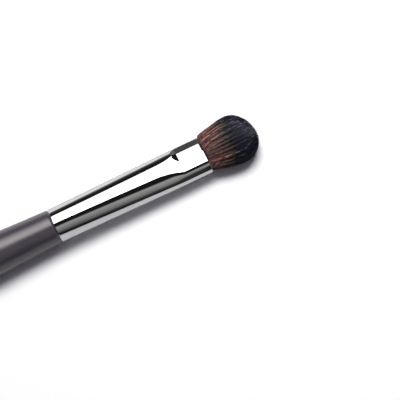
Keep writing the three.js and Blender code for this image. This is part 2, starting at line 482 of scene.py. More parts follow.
@dataclass(frozen=True)
class LacquerFinish:
    """Dark plum-grey satin lacquer with a little pearl in it, over turned wood."""

    deep: Colour = (0.045, 0.039, 0.056, 1.0)
    light: Colour = (0.059, 0.051, 0.070, 1.0)
    satin: float = 0.30
    rubbed: float = 0.40
    shine: float = 0.8
    shine_tint: Colour = (1.0, 0.955, 0.905, 1.0)
    coat: float = 0.27
    coat_roughness: float = 0.22
    peel: float = 0.02
    peel_depth: float = 0.2 * MM
    cloud_scale: float = 160.0
    cloud_tone: float = 0.7
    cloud_wear: float = 0.35
    relief_scale: float = 1400.0
    scratch_scale: float = 700.0
    scratch_share: float = 0.08
    scratch_wear: float = 0.6
    grain_scale: float = 1800.0
    grain_length: float = 0.04
    grain_tone: float = 0.3
    grain_relief: float = 0.4

    def material(self, effects: Effects) -> bpy.types.Material:
        """Builds the finish.

        Args:
            effects: Shared surface effects.

        Returns:
            The lacquer material.
        """
        material, graph, shader = new_material("handle_lacquer")
        clouds = graph.place(effects.mottle, Broad=self.cloud_scale, Fine=self.relief_scale)
        marks = graph.place(effects.scratches, Scale=self.scratch_scale, Share=self.scratch_share)
        grain = graph.place(effects.fibres, Scale=self.grain_scale, Length=self.grain_length)
        cloudy = graph.math("MULTIPLY", clouds["Mask"], self.cloud_tone)
        tone = graph.math("MULTIPLY_ADD", grain["Mask"], self.grain_tone, cloudy)
        scratched = graph.math("MULTIPLY", marks["Mask"], self.scratch_wear)
        dulled = graph.math("MULTIPLY", clouds["Mask"], self.cloud_wear)
        worn = graph.math("MAXIMUM", scratched, dulled)
        relief = graph.math("MULTIPLY_ADD", grain["Mask"], self.grain_relief, clouds["Height"])
        graph.feed(shader, Base_Color=graph.mix(tone, self.deep, self.light))
        graph.feed(shader, Roughness=graph.between(worn, self.satin, self.rubbed))
        graph.feed(shader, Specular_IOR_Level=self.shine, Specular_Tint=self.shine_tint)
        graph.feed(shader, Coat_Weight=self.coat, Coat_Roughness=self.coat_roughness)
        graph.feed(shader, Coat_Tint=self.shine_tint)
        graph.feed(shader, Normal=graph.bump(relief, self.peel, self.peel_depth))
        return material


@dataclass(frozen=True)
class PlatingFinish:
    """Bright nickel plating, mirror polished, with hairline rubbing marks."""

    bright: Colour = (0.68, 0.675, 0.67, 1.0)
    dull: Colour = (0.63, 0.625, 0.62, 1.0)
    polished: float = 0.02
    rubbed: float = 0.03
    waviness: float = 0.002
    wave_depth: float = 0.5 * MM
    wave_scale: float = 300.0
    cloud_scale: float = 220.0
    cloud_wear: float = 0.3
    scratch_scale: float = 1600.0
    scratch_share: float = 0.1

    def material(self, effects: Effects) -> bpy.types.Material:
        """Builds the finish.

        Args:
            effects: Shared surface effects.

        Returns:
            The plating material.
        """
        material, graph, shader = new_material("ferrule_plating")
        clouds = graph.place(effects.mottle, Broad=self.cloud_scale, Fine=self.wave_scale)
        marks = graph.place(effects.scratches, Scale=self.scratch_scale, Share=self.scratch_share)
        dulled = graph.math("MULTIPLY", clouds["Mask"], self.cloud_wear)
        worn = graph.math("MAXIMUM", marks["Mask"], dulled)
        graph.feed(shader, Base_Color=graph.mix(clouds["Mask"], self.bright, self.dull), Metallic=1.0)
        graph.feed(shader, Roughness=graph.between(worn, self.polished, self.rubbed))
        graph.feed(shader, Normal=graph.bump(clouds["Height"], self.waviness, self.wave_depth))
        return material


@dataclass(frozen=True)
class HairFinish:
    """Dyed hair: red-brown at the roots, blue-black at the tips, each strand a little different."""

    root: Colour = (0.82, 0.36, 0.32, 1.0)
    root_dark: Colour = (0.035, 0.018, 0.017, 1.0)
    middle: Colour = (0.36, 0.288, 0.20, 1.0)
    tip: Colour = (0.005, 0.0057, 0.0125, 1.0)
    tip_light: Colour = (0.22, 0.216, 0.32, 1.0)
    tip_contrast: float = 2.2
    change_at: float = 0.41
    change_length: float = 0.14
    change_spread: float = 0.30
    change_middle: float = 0.5
    streak_scale: float = 9000.0
    streak_length: float = 0.03
    streak_base: float = 0.6
    dash_scale: float = 2600.0
    dash_length: float = 0.45
    dash_gain: float = 1.3
    dash_base: float = 0.25
    roughness: Span = (0.45, 0.60)
    shine: float = 0.25

    def material(self, effects: Effects) -> bpy.types.Material:
        """Builds the finish.

        Args:
            effects: Shared surface effects.

        Returns:
            The hair material.
        """
        material, graph, shader = new_material("tuft_hair")
        streaks = graph.place(effects.fibres, Scale=self.streak_scale, Length=self.streak_length)["Mask"]
        dashes = graph.place(effects.fibres, Scale=self.dash_scale, Length=self.dash_length)["Mask"]
        streaked = graph.math("ADD", streaks, self.streak_base)
        broken = graph.math("MULTIPLY_ADD", dashes, self.dash_gain, self.dash_base)
        # The shade trait brings painted shade: darkened partings between locks, a darker near side and a
        # lighter far side
        bright = graph.math("MULTIPLY", graph.math("MULTIPLY", graph.trait(Trait.SHADE), streaked), broken)
        root = graph.mix(bright, self.root_dark, self.root)
        middle = graph.mix(bright, self.root_dark, self.middle)
        tip = graph.mix(graph.math("POWER", bright, self.tip_contrast), self.tip, self.tip_light)
        late = graph.math("SUBTRACT", graph.trait(Trait.CHANGE), self.change_middle)
        shift = graph.math("MULTIPLY", late, self.change_spread)
        place = graph.math("SUBTRACT", graph.trait(Trait.ALONG), shift)
        faded = graph.ramp(place, self.change_at - self.change_length, self.change_at)
        dyed = graph.ramp(place, self.change_at, self.change_at + self.change_length)
        graph.feed(shader, Base_Color=graph.mix(dyed, graph.mix(faded, root, middle), tip))
        graph.feed(shader, Roughness=graph.between(streaks, *self.roughness), Specular_IOR_Level=self.shine)
        return material


@dataclass(frozen=True)
class ThreadFinish:
    """Undyed waxed thread."""

    pale: Colour = (0.78, 0.72, 0.60, 1.0)
    shaded: Colour = (0.55, 0.48, 0.36, 1.0)
    roughness: float = 0.75
    fibre_scale: float = 4000.0
    fibre_length: float = 1.0
    relief: float = 0.3
    relief_depth: float = 0.05 * MM

    def material(self, effects: Effects) -> bpy.types.Material:
        """Builds the finish.

        Args:
            effects: Shared surface effects.

        Returns:
            The thread material.
        """
        material, graph, shader = new_material("tie_thread")
        streaks = graph.place(effects.fibres, Scale=self.fibre_scale, Length=self.fibre_length)["Mask"]
        graph.feed(shader, Base_Color=graph.mix(streaks, self.shaded, self.pale), Roughness=self.roughness)
        graph.feed(shader, Normal=graph.bump(streaks, self.relief, self.relief_depth))
        return material


@dataclass(frozen=True)
class CastFinish:
    """A cured resin or glue with clouds in it."""

    name: str
    deep: Colour
    light: Colour
    roughness: Span
    cloud_scale: float = 700.0
    relief_scale: float = 4000.0
    relief: float = 0.1
    relief_depth: float = 0.05 * MM

    def material(self, effects: Effects) -> bpy.types.Material:
        """Builds the finish.

        Args:
            effects: Shared surface effects.

        Returns:
            The cast material.
        """
        material, graph, shader = new_material(self.name)
        clouds = graph.place(effects.mottle, Broad=self.cloud_scale, Fine=self.relief_scale)
        graph.feed(shader, Base_Color=graph.mix(clouds["Mask"], self.deep, self.light))
        graph.feed(shader, Roughness=graph.between(clouds["Mask"], *self.roughness))
        graph.feed(shader, Normal=graph.bump(clouds["Height"], self.relief, self.relief_depth))
        return material


@dataclass(frozen=True)
class CastPiece:
    """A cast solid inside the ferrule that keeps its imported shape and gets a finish."""

    node: Node
    slot: Slot
    finish: CastFinish

    def dress(self, frame: dict, effects: Effects) -> bpy.types.Object:
        """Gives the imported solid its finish.

        Args:
            frame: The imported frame.
            effects: Shared surface effects.

        Returns:
            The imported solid.
        """
        piece = frame["nodes"][self.node.value]
        coat(piece, self.finish.material(effects), self.slot)
        return piece


AMBER_RESIN = CastFinish("root_resin", (0.42, 0.24, 0.06, 1.0), (0.62, 0.40, 0.14, 1.0), (0.2, 0.3))
CREAM_GLUE = CastFinish("bond_glue", (0.62, 0.54, 0.38, 1.0), (0.76, 0.69, 0.53, 1.0), (0.5, 0.6))
RESIN_PLUG = CastPiece(Node.RESIN, Slot.RESIN, AMBER_RESIN)
GLUE_SLEEVE = CastPiece(Node.BOND, Slot.GLUE, CREAM_GLUE)


@dataclass
class Ferrule:
    """Plated metal tube: round at the handle, drawn to an oval, pressed flat at the mouth."""

    finish: PlatingFinish = PlatingFinish()
    length: float = 40.0 * MM
    diameter: float = 8.6 * MM
    wall: float = 0.35 * MM
    seat_gap: float = 0.1 * MM
    edge_round: float = 0.12 * MM
    round_length: float = 1.5 * MM
    oval_width: float = 9.5 * MM
    oval_thickness: float = 6.1 * MM
    press_thickness: float = 5.2 * MM
    press_length: float = 6.3 * MM
    press_ramp: float = 2.8 * MM
    press_margin: float = 0.6 * MM
    crease_fillet: float = 0.45 * MM
    round_power: float = 2.0
    press_power: float = 2.05
    lean_angle: float = math.radians(10)
    lean_from: float = 0.3 * MM
    bevel_angle: float = math.radians(30)
    bevel_from: float = 2.65 * MM
    die_slope: float = 0.28
    die_fillet: float = 0.02 * MM
    facet_angle: float = math.radians(46)
    facet_depth: float = 0.022 * MM
    facet_fillet: float = 0.02 * MM
    sides: int = 256
    drawn_rings: int = 36
    press_rings: int = 60
    flat_rings: int = 5
    edge_rings: int = 7

    @property
    def flats_from(self) -> float:
        """Distance from the shoulder at which the pressed flats begin."""
        return self.length - self.press_length

    @property
    def ramp_from(self) -> float:
        """Distance from the shoulder at which the tube begins to slope down to the flats."""
        return self.flats_from - self.press_ramp

    def half_sizes(self, x: float) -> Span:
        """Size of the oval before pressing.

        Args:
            x: Distance from the shoulder.

        Returns:
            Half its width and half its thickness.
        """
        drawn = float(np.clip((x - self.round_length) / (self.ramp_from - self.round_length), 0.0, 1.0))
        width = lerp(self.diameter, self.oval_width, drawn)
        thickness = lerp(self.diameter, self.oval_thickness, drawn)
        return width / 2, thickness / 2

    def top(self, x: float, across: np.ndarray, margin: float = 0.0) -> np.ndarray:
        """Height of the upper surface over the middle of the ferrule.

        The press leans a little to the far side: there the flat falls away from lean_from on and ends in a
        bevel, and a short slope leads down to it. A narrow facet runs along the near side.

        Args:
            x: Distance from the shoulder.
            across: Distances from the upright middle plane, positive on the far side.
            margin: How far the surface is drawn in from the outside.

        Returns:
            The height at each point.
        """
        half_width, half_thickness = (size - margin for size in self.half_sizes(x))
        behind = max(0.0, self.flats_from - x)
        power = lerp(self.round_power, self.press_power, smoothstep(x, self.ramp_from, self.flats_from))
        reach = np.minimum(np.abs(across) / half_width, 1.0)
        oval = half_thickness * (1.0 - reach**power) ** (1.0 / power)
        flat = self.press_thickness / 2 - margin
        rise = (self.oval_thickness - self.press_thickness) / 2 / self.press_ramp
        pressed = soft_min(oval, flat + rise * behind, self.crease_fillet)
        leaned = np.clip(across - self.lean_from, 0.0, self.bevel_from - self.lean_from)
        beveled = np.maximum(across - self.bevel_from, 0.0)
        fall = math.tan(self.lean_angle) * leaned + math.tan(self.bevel_angle) * beveled
        die_face = flat + self.die_fillet + self.die_slope * behind - fall
        far = soft_min(pressed, die_face, self.die_fillet)
        slant, upright = math.sin(self.facet_angle), math.cos(self.facet_angle)
        cut = self.facet_depth * smoothstep(x, self.round_length, self.flats_from)
        tangent = math.hypot(half_width * slant, half_thickness * upright)
        near = soft_min(pressed, (tangent - cut + across * slant) / upright, self.facet_fillet)
        return np.where(across > 0.0, far, near)

    def ring(self, x: float, margin: float = 0.0) -> np.ndarray:
        """Points round the ferrule at a distance from the shoulder.

        Args:
            x: Distance from the shoulder.
            margin: How far the ring is drawn in from the outside.

        Returns:
            The ring's points on the brush's axes.
        """
        angle = np.linspace(0.0, 2 * math.pi, self.sides, endpoint=False) + math.pi / self.sides
        across = (self.half_sizes(x)[0] - margin) * np.cos(angle)
        height = np.sign(np.sin(angle)) * self.top(x, across, margin)
        return np.column_stack([np.full(self.sides, x), across, height])

    def stations(self) -> list[float]:
        """Places the wall's rings between its rounded ends, close together round the press.

        Returns:
            Distances from the shoulder.
        """
        press_from = self.ramp_from - self.press_margin
        press_to = self.flats_from + self.press_margin
        first = self.seat_gap + self.edge_round
        last = self.length - self.edge_round
        drawn = np.linspace(self.round_length, press_from, self.drawn_rings)
        pressed = np.linspace(press_from, press_to, self.press_rings)[1:]
        flat = np.linspace(press_to, last, self.flat_rings)[1:]
        return [first, *drawn, *pressed, *flat]

    def build(self, axes: BrushAxes) -> bpy.types.Object:
        """Makes the ferrule's wall as one closed skin with rounded edges.

        Args:
            axes: The brush's axes in the frame.

        Returns:
            The ferrule.
        """
        stations = self.stations()
        turns = np.linspace(0.0, math.pi, self.edge_rings)[1:-1]
        rings = [self.ring(x) for x in stations]
        for turn in turns:
            inset = self.wall / 2 * (1 - math.cos(turn))
            rings.append(self.ring(stations[-1] + self.edge_round * math.sin(turn), inset))
        rings += [self.ring(x, self.wall) for x in reversed(stations)]
        for turn in turns:
            inset = self.wall / 2 * (1 + math.cos(turn))
            rings.append(self.ring(stations[0] - self.edge_round * math.sin(turn), inset))
        faces = ring_faces(len(rings), self.sides, loop=True)
        return new_piece("ferrule_shell", axes.place(np.vstack(rings)), faces)

    def dress(self, shell: bpy.types.Object, effects: Effects) -> None:
        """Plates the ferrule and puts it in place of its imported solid."""
        coat(shell, self.finish.material(effects), Slot.FERRULE)
        stand_for(shell, Node.FERRULE)


@dataclass
class Handle:
    """Turned handle with its tapered tenon inside the ferrule."""

    ferrule: Ferrule
    finish: LacquerFinish = LacquerFinish()
    length: float = 116.0 * MM
    shoulder_diameter: float = 8.7 * MM
    shoulder_round: float = 0.6 * MM
    shoulder_drop: float = 0.4 * MM
    neck_swell: float = 0.3 * MM
    neck_pull: float = 13.0 * MM
    belly_pull: float = 5.0 * MM
    belly_diameter: float = 10.7 * MM
    belly_setback: float = 24.0 * MM
    tail_diameter: float = 5.4 * MM
    tail_round: float = 3.4 * MM
    tail_fullness: float = 0.55
    tenon_length: float = 10.5 * MM
    tenon_clearance: float = 0.35 * MM
    tenon_chamfer: float = 0.6 * MM
    groove_count: int = 3
    groove_width: float = 1.3 * MM
    groove_depth: float = 0.45 * MM
    groove_pitch: float = 2.9 * MM
    sides: int = 96
    curve_steps: int = 48
    shoulder_steps: int = 6

    def profile(self) -> Profile:
        """Draws the turned outline from tail to tenon.

        Returns:
            Distance from the shoulder and radius of each point.
        """
        tail_x, tail = -self.length, self.tail_diameter / 2
        taper_x = tail_x + self.tail_round
        belly_x, belly = -self.belly_setback, self.belly_diameter / 2
        shoulder = self.shoulder_diameter / 2
        taper_pull = (belly_x - taper_x) / 2
        tail_curve = [
            (tail_x, 0.0),
            (tail_x, tail * self.tail_fullness),
            (taper_x - self.tail_round * self.tail_fullness, tail),
            (taper_x, tail),
        ]
        taper_curve = [
            (taper_x, tail),
            (taper_x + taper_pull, tail),
            (belly_x - taper_pull, belly),
            (belly_x, belly),
        ]
        neck_curve = [
            (belly_x, belly),
            (belly_x + self.belly_pull, belly),
            (-self.neck_pull, shoulder + self.neck_swell),
            (-self.shoulder_round, shoulder),
        ]
        points = bezier(tail_curve, self.curve_steps // 2)
        points += bezier(taper_curve, self.curve_steps)
        points += bezier(neck_curve, self.curve_steps)
        for turn in np.linspace(0.0, math.pi / 2, self.shoulder_steps + 1)[1:]:
            drop = self.shoulder_drop * (1 - math.cos(turn))
            points.append((-self.shoulder_round * (1 - math.sin(turn)), shoulder - drop))
        return points + self.tenon_profile()

    def tenon_profile(self) -> Profile:
        """Draws the tenon with its glue grooves, from the shoulder's face to its end.

        Returns:
            Distance from the shoulder and radius of each point.
        """
        span = (self.groove_count - 1) * self.groove_pitch + self.groove_width
        points = [(0.0, self.tenon_radius(0.0))]
        for groove in range(self.groove_count):
            start = (self.tenon_length - span) / 2 + groove * self.groove_pitch
            end = start + self.groove_width
            at_start, at_end = self.tenon_radius(start), self.tenon_radius(end)
            points += [(start, at_start), (start, at_start - self.groove_depth)]
            points += [(end, at_end - self.groove_depth), (end, at_end)]
        chamfer_from = self.tenon_length - self.tenon_chamfer
        points.append((chamfer_from, self.tenon_radius(chamfer_from)))
        points.append((self.tenon_length, self.tenon_radius(self.tenon_length) - self.tenon_chamfer))
        return points

    def tenon_radius(self, x: float) -> float:
        """Radius of the tenon, which clears the bore alike where the bore is thinnest."""
        return self.ferrule.half_sizes(x)[1] - self.ferrule.wall - self.tenon_clearance

    def build(self, axes: BrushAxes) -> bpy.types.Object:
        """Turns the profile into the handle.

        Args:
            axes: The brush's axes in the frame.

        Returns:
            The handle.
        """
        angle = np.linspace(0.0, 2 * math.pi, self.sides, endpoint=False)
        rings = []
        for x, radius in self.profile():
            ring = [np.full(self.sides, x), radius * np.cos(angle), radius * np.sin(angle)]
            rings.append(np.column_stack(ring))
        faces = ring_faces(len(rings), self.sides, loop=False)
        return new_piece("handle_turned", axes.place(np.vstack(rings)), faces)

    def dress(self, handle: bpy.types.Object, effects: Effects) -> None:
        """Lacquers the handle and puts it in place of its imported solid."""
        coat(handle, self.finish.material(effects), Slot.HANDLE)
        stand_for(handle, Node.HANDLE)


@dataclass(frozen=True)
class Locks:
    """Which lock each hair of the tuft falls into.

    There are count locks. The other fields have one row for each hair: the lock that it belongs to, the
    place of that lock's middle in the bundle, and how near the hair is to the next lock, 1 being halfway.
    """

    count: int
    owner: np.ndarray
    middle: np.ndarray
    parting: np.ndarray


@dataclass
class Tuft:
    """Domed tuft of fine hairs that spread from the ferrule's mouth.

    A hair's place is given as shares of the bundle's half width and half thickness, positive to the far side
    and upwards.
    """

    ferrule: Ferrule
    finish: HairFinish = HairFinish()
    length: float = 13.75 * MM
    far_reach: float = 6.74 * MM
    near_reach: float = 5.98 * MM
    thickness: float = 8.6 * MM
    dome: float = 5.8 * MM
    dome_fullness: float = 2.0
    peak_shift: float = 0.06
    inside: float = 3.0 * MM
    bore_clearance: float = 0.06 * MM
    bulge: float = 0.85 * MM
    bulge_upward: float = 0.5
    bulge_length: float = 0.12 * MM
    hairs: int = 6400
    hair_diameter: float = 0.085 * MM
    tip_taper: float = 0.85
    taper_from: float = 0.7
    length_spread: float = 0.006
    length_limits: Span = (-2.0, 1.0)
    wander: float = 0.03 * MM
    row_spacing: float = math.sqrt(0.75)
    packing: float = 0.9
    jitter: float = 0.4
    locks: int = 300
    lock_pull: float = 0.5
    lock_gathers: Span = (0.05, 0.5)
    lock_release: float = 0.7
    lock_opens: Span = (0.6, 1.0)
    # Painted shade: hairs near the parting between two locks are darkened
    parting_painted_shade: float = 0.8
    parting_shade_from: float = 0.35
    lock_shade: Span = (0.1, 1.0)
    hair_shade: Span = (0.6, 1.0)
    # Painted light and shade: the near side of the tuft is darker and the far side lighter
    painted_side_shade: Span = (0.43, 1.52)
    painted_side_bias: float = 1.15
    rim_from: float = 0.45
    rim_shade: float = 0.6
    lock_change: float = 0.65
    hair_change: float = 0.2
    side_change: float = 0.45
    least_change: float = -0.19
    rim_change: float = 0.35
    core_share: float = 0.72
    core_flatness: float = 0.85
    sides: int = 3
    stations: tuple[float, ...] = (0.0, 0.012, 0.05, 0.12, 0.24, 0.40, 0.58, 0.78, 0.96, 1.0)
    cell_margin: float = 0.1
    seed: int = 13
    mouth: Span = field(init=False)
    squeeze: float = field(init=False)

    def __post_init__(self) -> None:
        """Works out half the bundle's width and thickness at the mouth, and how far it is pressed flat."""
        spare = self.ferrule.wall + self.bore_clearance + self.hair_diameter / 2
        half_width, _ = self.ferrule.half_sizes(self.ferrule.length)
        self.mouth = (half_width - spare, self.ferrule.press_thickness / 2 - spare)
        self.squeeze = self.ferrule.press_thickness / self.ferrule.oval_thickness

    def places(self, count: int, rng: np.random.Generator) -> np.ndarray:
        """Spreads places evenly over the bundle, in staggered rows.

        Args:
            count: About how many places there are.
            rng: Seeded source of the small irregularities.

        Returns:
            One row of two shares for each place.
        """
        half_width, half_thickness = self.mouth
        area = 4 * half_width * half_thickness * self.packing
        pitch = math.sqrt(area / (count * self.row_spacing))
        rows = np.arange(-half_thickness, half_thickness, pitch * self.row_spacing)
        columns = np.arange(-half_width, half_width, pitch)
        y, z = np.meshgrid(columns, rows)
        y = y + np.where(np.arange(len(rows)) % 2, pitch / 2, 0.0)[:, None]
        stray = rng.uniform(-self.jitter, self.jitter, (2, *y.shape)) * pitch
        aside = ((y + stray[0]) / half_width).ravel()
        upward = ((z + stray[1]) / half_thickness).ravel()
        inside = (np.hypot(aside, upward * self.squeeze) < 1.0) & (np.abs(upward) < 1.0)
        return np.column_stack([aside, upward])[inside]

    def gather(self, shares: np.ndarray, rng: np.random.Generator) -> Locks:
        """Gathers the hairs into locks.

        Args:
            shares: Each hair's place in the bundle.
            rng: Seeded source of the locks' places.

        Returns:
            The locks.
        """
        middles = self.places(self.locks, rng)
        spans = np.hypot(*(shares[:, None, :] - middles[None]).transpose(2, 0, 1))
        owner = np.argmin(spans, axis=1)
        nearest, second = np.sort(spans, axis=1)[:, :2].T
        return Locks(len(middles), owner, middles[owner], nearest / second)

    def free_lengths(self, shares: np.ndarray, rounded: np.ndarray, rng: np.random.Generator) -> np.ndarray:
        """Trims the hairs to the dome.

        Args:
            shares: Each hair's place in the bundle.
            rounded: How thick the spread tuft is over each hair's place, as a share of its middle.
            rng: Seeded source of the small irregularities.

        Returns:
            How far each hair reaches beyond the mouth.
        """
        aside, upward = shares.T
        off_peak = aside + self.peak_shift * (1.0 - aside**2)
        edge = np.minimum(np.hypot(off_peak, upward * rounded), 1.0)
        crown = (1.0 - edge**self.dome_fullness) ** (1.0 / self.dome_fullness)
        free = self.length - self.dome + self.dome * crown
        stray = np.clip(rng.standard_normal(len(free)), *self.length_limits)
        return free * (1.0 + self.length_spread * stray)

    def paths(self, shares: np.ndarray, locks: Locks, rng: np.random.Generator) -> np.ndarray:
        """Draws the middle line of every hair.

        Args:
            shares: Each hair's place in the bundle.
            locks: The lock that each hair falls into.
            rng: Seeded source of the small irregularities.

        Returns:
            Points by hair and station on the brush's axes.
        """
        rounded = np.maximum(np.sqrt(1.0 - shares[:, :1] ** 2), self.squeeze)
        free = self.free_lengths(shares, rounded[:, 0], rng)
        step = np.array(self.stations)
        grown = np.concatenate([[0.0], step])
        distance = np.column_stack([np.full(len(free), -self.inside), free[:, None] * step])
        flare = np.sin(math.pi / 2 * np.clip(distance / (self.length - self.dome), 0.0, 1.0))
        swollen = self.bulge * (1.0 - np.exp(-np.maximum(distance, 0.0) / self.bulge_length))
        opened = 1.0 - self.lock_release * smoothstep(grown, *self.lock_opens)
        pull = self.lock_pull * smoothstep(grown, *self.lock_gathers) * opened
        aside = lerp(shares[:, :1], locks.middle[:, :1], pull)
        upward = lerp(shares[:, 1:], locks.middle[:, 1:], pull)
        reach = np.where(aside > 0.0, self.far_reach, self.near_reach)
        half_width = self.mouth[0] + np.where(aside > 0.0, swollen, 0.0)
        half_thickness = self.mouth[1] + np.where(upward > 0.0, swollen * self.bulge_upward, 0.0)
        across = aside * lerp(half_width, reach, flare)
        height = upward * lerp(half_thickness, self.thickness / 2 * rounded, flare)
        bore = self.ferrule.top(self.ferrule.length, across, self.ferrule.wall + self.bore_clearance)
        height = np.where(distance > 0.0, height, np.clip(height, -bore, bore))
        drift = rng.standard_normal((2, len(free), 1)) * self.wander * grown**2
        return np.stack([self.ferrule.length + distance, across + drift[0], height + drift[1]], axis=2)

    def dye_and_paint_shade(self, shares: np.ndarray, locks: Locks, rng: np.random.Generator) -> dict[Trait, np.ndarray]:
        """Chooses how light each hair is and where it changes colour.

        Partings between locks are darkened with painted shade. Painted shade also makes the near side darker
        and the far side lighter; the far side changes later than the near side, but its rim is darker again
        and changes sooner.

        Args:
            shares: Each hair's place in the bundle.
            locks: The lock that each hair falls into.
            rng: Seeded source of the differences between locks and between hairs.

        Returns:
            One value for each hair by trait.
        """
        count = len(shares)
        side = (shares[:, 0] + 1.0) / 2
        rim = smoothstep(shares[:, 0], self.rim_from, 1.0)
        # Painted shade: darker where a hair lies near the parting to the next lock
        parting = self.parting_painted_shade * smoothstep(locks.parting, self.parting_shade_from, 1.0)
        shade = lerp(*self.lock_shade, rng.random(locks.count))[locks.owner] * (1.0 - parting)
        # Painted shade: darker towards the near side, lighter towards the far side
        shade = shade * rng.uniform(*self.hair_shade, count) * lerp(*self.painted_side_shade, side**self.painted_side_bias)
        shade = shade * lerp(1.0, self.rim_shade, rim)
        change = self.lock_change * rng.random(locks.count)[locks.owner]
        change = change + self.hair_change * rng.random(count)
        change = change + self.side_change * side + self.least_change - self.rim_change * rim
        return {Trait.SHADE: shade, Trait.CHANGE: change}

    def build(self, axes: BrushAxes) -> dict[Layer, bpy.types.Object]:
        """Grows the hairs and splits them into a core and an outer layer.

        Args:
            axes: The brush's axes in the frame.

        Returns:
            One piece for each layer.
        """
        rng = np.random.default_rng(self.seed)
        shares = self.places(self.hairs, rng)
        locks = self.gather(shares, rng)
        paths = self.paths(shares, locks, rng)
        traits = self.dye_and_paint_shade(shares, locks, rng)
        aside, upward = shares.T
        facing = np.arctan2(upward / self.thickness, aside / (self.far_reach + self.near_reach))
        edge = np.maximum(np.hypot(aside, self.core_flatness * upward), np.abs(upward))
        outer = edge > self.core_share
        layers = {}
        for layer, chosen in ((Layer.CORE, ~outer), (Layer.OUTER, outer)):
            own = {trait: values[chosen] for trait, values in traits.items()}
            layers[layer] = self.strands(layer, paths[chosen], facing[chosen], own, axes)
        return layers

    def strands(
        self,
        layer: Layer,
        paths: np.ndarray,
        facing: np.ndarray,
        traits: dict[Trait, np.ndarray],
        axes: BrushAxes,
    ) -> bpy.types.Object:
        """Makes one layer of closed, tapered strands.

        Args:
            layer: The layer.
            paths: Points by hair and station on the brush's axes.
            facing: Angle from the far side to the way that one side of each hair faces, out of the tuft.
            traits: One value for each hair by trait.
            axes: The brush's axes in the frame.

        Returns:
            The piece, with its traits on its points and a cell of the bake map for each hair.
        """
        points = self.strand_points(paths, facing)
        count, per_hair = points.shape[:2]
        pattern, corners = self.strand_faces(paths.shape[1])
        starts = range(0, count * per_hair, per_hair)
        faces = [[start + corner for corner in face] for start in starts for face in pattern]
        placed = axes.place(points.reshape(-1, 3))
        placed[:, 2] = np.maximum(placed[:, 2], 0.0)
        piece = new_piece(layer.value, placed, faces)
        kept = {Trait.ALONG: np.clip((points[:, :, 0] - self.ferrule.length) / self.length, 0.0, 1.0)}
        for trait, values in traits.items():
            kept[trait] = np.repeat(values[:, None], per_hair, 1)
        for trait, values in kept.items():
            attribute = piece.data.attributes.new(trait.value, "FLOAT", "POINT")
            attribute.data.foreach_set("value", values.ravel().astype(np.float32))
        self.map_cells(piece, count, corners)
        return piece

    def strand_points(self, paths: np.ndarray, facing: np.ndarray) -> np.ndarray:
        """Sets a ring of points round each station of every hair, and one point at its tip.

        Args:
            paths: Points by hair and station on the brush's axes.
            facing: Angle from the far side to the way that one side of each hair faces, out of the tuft.

        Returns:
            Points by hair, ring after ring from the root to the tip.
        """
        count, stations = paths.shape[:2]
        step = np.linspace(0.0, 1.0, stations)
        radius = self.hair_diameter / 2 * lerp(1.0, self.tip_taper, smoothstep(step, self.taper_from, 1.0))
        angle = facing[:, None] + 2 * math.pi * (np.arange(self.sides) + 0.5) / self.sides
        offset = np.stack([np.zeros((count, self.sides)), np.cos(angle), np.sin(angle)], axis=2)
        rings = paths[:, :-1, None, :] + radius[None, :-1, None, None] * offset[:, None]
        body = rings.reshape(count, (stations - 1) * self.sides, 3)
        return np.concatenate([body, paths[:, -1:, :]], axis=1)

    def strand_faces(self, stations: int) -> tuple[list[list[int]], np.ndarray]:
        """Faces of one strand, and where each of their corners lies in the strand's cell of the bake map.

        Args:
            stations: Number of stations along the strand, the last of which is its tip.

        Returns:
            Corner indices of each face, and one row of two shares of the cell for each corner in turn.
        """
        sides = self.sides
        tip = (stations - 1) * sides
        faces = [list(range(sides))[::-1]]
        corners = [(i / sides, 0.0) for i in faces[0]]
        for ring in range(stations - 2):
            here, there = ring * sides, (ring + 1) * sides
            low, high = ring / (stations - 1), (ring + 1) / (stations - 1)
            for i in range(sides):
                j = (i + 1) % sides
                left, right = i / sides, (i + 1) / sides
                faces.append([here + i, here + j, there + j, there + i])
                corners += [(left, low), (right, low), (right, high), (left, high)]
        last = tip - sides
        base = (stations - 2) / (stations - 1)
        for i in range(sides):
            faces.append([last + i, last + (i + 1) % sides, tip])
            corners += [(i / sides, base), ((i + 1) / sides, base), ((i + 0.5) / sides, 1.0)]
        return faces, np.array(corners)

    def map_cells(self, piece: bpy.types.Object, count: int, corners: np.ndarray) -> None:
        """Lays every hair into its own cell of the bake map.

        Args:
            piece: The hair piece.
            count: Number of hairs in it.
            corners: Where the corners of a strand's faces lie in a cell.
        """
        across = math.ceil(math.sqrt(count))
        cell = np.stack([np.arange(count) % across, np.arange(count) // across], axis=1)
        spread = (cell[:, None, :] + lerp(self.cell_margin, 1.0 - self.cell_margin, corners)) / across
        bake_map = piece.data.uv_layers.new(name=BAKE_MAP)
        bake_map.data.foreach_set("uv", spread.ravel().astype(np.float32))

    def dress(self, layers: dict[Layer, bpy.types.Object], effects: Effects) -> None:
        """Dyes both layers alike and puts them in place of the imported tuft.

        Args:
            layers: The tuft's pieces.
            effects: Shared surface effects.
        """
        hair = self.finish.material(effects)
        for piece in layers.values():
            coat(piece, hair, Slot.HAIR)
            stand_for(piece, Node.HAIR)


